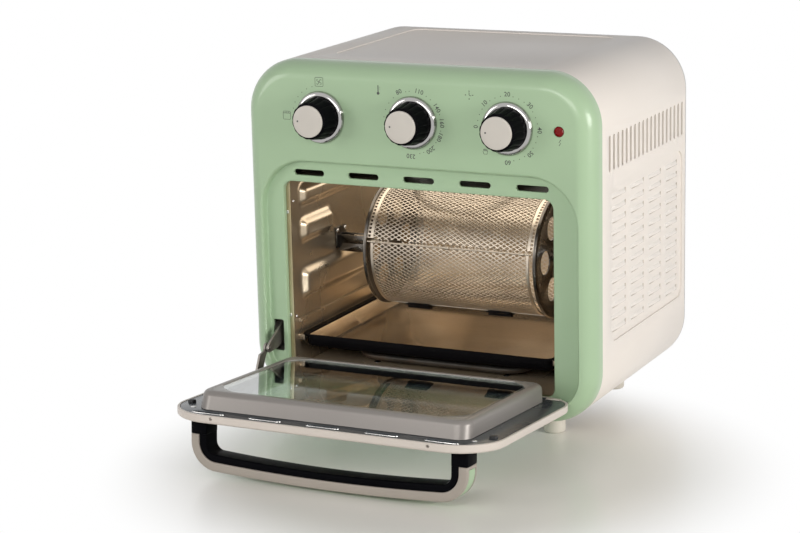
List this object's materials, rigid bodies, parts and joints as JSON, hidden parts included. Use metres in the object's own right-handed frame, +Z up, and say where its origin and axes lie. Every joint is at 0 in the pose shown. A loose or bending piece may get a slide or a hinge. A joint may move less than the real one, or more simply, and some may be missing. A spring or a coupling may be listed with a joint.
{
  "type": "air fryer oven",
  "caption": "Countertop air fryer oven with a drop-down glass door, turning basket, drip tray, dials and a wrap-around casing on feet.",
  "frame": {"origin": "middle of the bottom of the whole oven's box at rest, door open, on the surface it stands on", "axes": "+X to the right seen from the front, +Y to the rear, +Z up"},
  "size_m": [0.34, 0.4462, 0.3365],
  "materials": {
    "fascia_green": "satin moulded plastic, mint green",
    "casing_cream": "cream powder coat, satin gloss",
    "inner_steel": "plain zinc-coated sheet",
    "foot_cream": "moulded foot",
    "cavity_bronze": "golden brown non-stick coat, satin",
    "heater_steel": "heater tube, heat-tinted",
    "basket_steel": "plated wire and sheet",
    "tray_enamel": "black enamel, glossy",
    "dial_chrome": "bright plated ring",
    "dial_black": "black moulded plastic",
    "dial_cream": "cream cap",
    "lamp_red": "red faceted lens",
    "part_black": "black moulded plastic",
    "door_cream": "cream coat, satin gloss",
    "liner_slate": "dark blue-grey coat",
    "frame_grey": "light grey coated sheet",
    "door_glass": "toughened glass",
    "handle_black": "black moulded plastic",
    "handle_cream": "cream moulded plastic",
    "handle_green": "mint green strip",
    "pin_steel": "bright steel"
  },
  "bodies": {
    "housing": {"front_panel": "fascia_green", "outer_casing": "casing_cream", "rear_panel": "inner_steel", "base_plate": "inner_steel", "foot_front_left": "foot_cream", "foot_front_right": "foot_cream", "foot_rear_left": "foot_cream", "foot_rear_right": "foot_cream", "cord_gland": "part_black", "indicator_lamp": "lamp_red", "function_switch": "part_black", "thermostat": "inner_steel", "timer": "inner_steel", "hinge_pin_left": "pin_steel", "hinge_pin_right": "pin_steel", "hinge_spring": "pin_steel", "cavity_flange": "cavity_bronze", "cavity_left_wall": "cavity_bronze", "cavity_right_wall": "cavity_bronze", "cavity_back_wall": "cavity_bronze", "cavity_floor": "cavity_bronze", "cavity_ceiling": "cavity_bronze", "upper_heater": "heater_steel", "lower_heater": "heater_steel", "fan_guard": "cavity_bronze", "fan_shroud": "inner_steel", "fan_motor": "inner_steel", "bearing_bracket": "pin_steel", "rotisserie_motor": "inner_steel"},
    "door": {"door_outer_frame": "door_cream", "outer_glass": "door_glass", "door_liner": "liner_slate", "door_inner_frame": "frame_grey", "inner_glass": "door_glass", "hinge_ear": "pin_steel", "lever_pin": "pin_steel", "handle_grip": "handle_black", "handle_trim": "handle_cream", "handle_inlay": "handle_green"},
    "lever": {"hinge_lever": "part_black"},
    "basket": {"basket_drum": "basket_steel", "basket_end_left": "basket_steel", "basket_end_right": "basket_steel", "basket_door_pin": "pin_steel", "drive_socket": "pin_steel"},
    "basket_flap": {"basket_door": "basket_steel"},
    "tray": {"drip_tray": "tray_enamel"},
    "fan": {"fan_impeller": "inner_steel"},
    "function_dial": {"function_knob_base": "dial_chrome", "function_knob_grip": "dial_black", "function_knob_cap": "dial_cream"},
    "temperature_dial": {"temperature_knob_base": "dial_chrome", "temperature_knob_grip": "dial_black", "temperature_knob_cap": "dial_cream"},
    "timer_dial": {"timer_knob_base": "dial_chrome", "timer_knob_grip": "dial_black", "timer_knob_cap": "dial_cream"}
  },
  "joints": [
    {"name": "door_hinge", "type": "hinge", "parent": "housing", "child": "door", "pos_m": [0, -0.0231, 0.0434], "axis": [-1, 0, 0], "range_deg": [0, 85.9], "deforming": ["hinge_spring"]},
    {"name": "lever_turn", "type": "hinge", "parent": "door", "child": "lever", "pos_m": [-0.1464, -0.03628, 0.06941], "axis": [-1, 0, 0], "range_deg": [-85.9, 0]},
    {"name": "basket_spin", "type": "hinge", "parent": "housing", "child": "basket", "pos_m": [0, 0.0863, 0.15], "axis": [1, 0, 0], "continuous": true},
    {"name": "basket_door_hinge", "type": "hinge", "parent": "basket", "child": "basket_flap", "pos_m": [0, 0.02917, 0.16214], "axis": [-1, 0, 0], "range_deg": [0, 50]},
    {"name": "tray_slide", "type": "slide", "parent": "housing", "child": "tray", "axis": [0, 1, 0], "range_m": [-0.035, 0]},
    {"name": "fan_spin", "type": "hinge", "parent": "housing", "child": "fan", "pos_m": [-0.0025, 0.0943, 0.24], "axis": [0, 0, 1], "continuous": true},
    {"name": "function_turn", "type": "hinge", "parent": "housing", "child": "function_dial", "pos_m": [-0.0913, -0.0257, 0.287], "axis": [0, 1, 0], "range_deg": [0, 270]},
    {"name": "temperature_turn", "type": "hinge", "parent": "housing", "child": "temperature_dial", "pos_m": [0, -0.0257, 0.287], "axis": [0, 1, 0], "range_deg": [-36, 274]},
    {"name": "timer_turn", "type": "hinge", "parent": "housing", "child": "timer_dial", "pos_m": [0.0913, -0.0257, 0.287], "axis": [0, 1, 0], "range_deg": [0, 270]}
  ],
  "couplings": [
    {"joint": "lever_turn", "follows": "door_hinge", "ratio": -1}
  ]
}
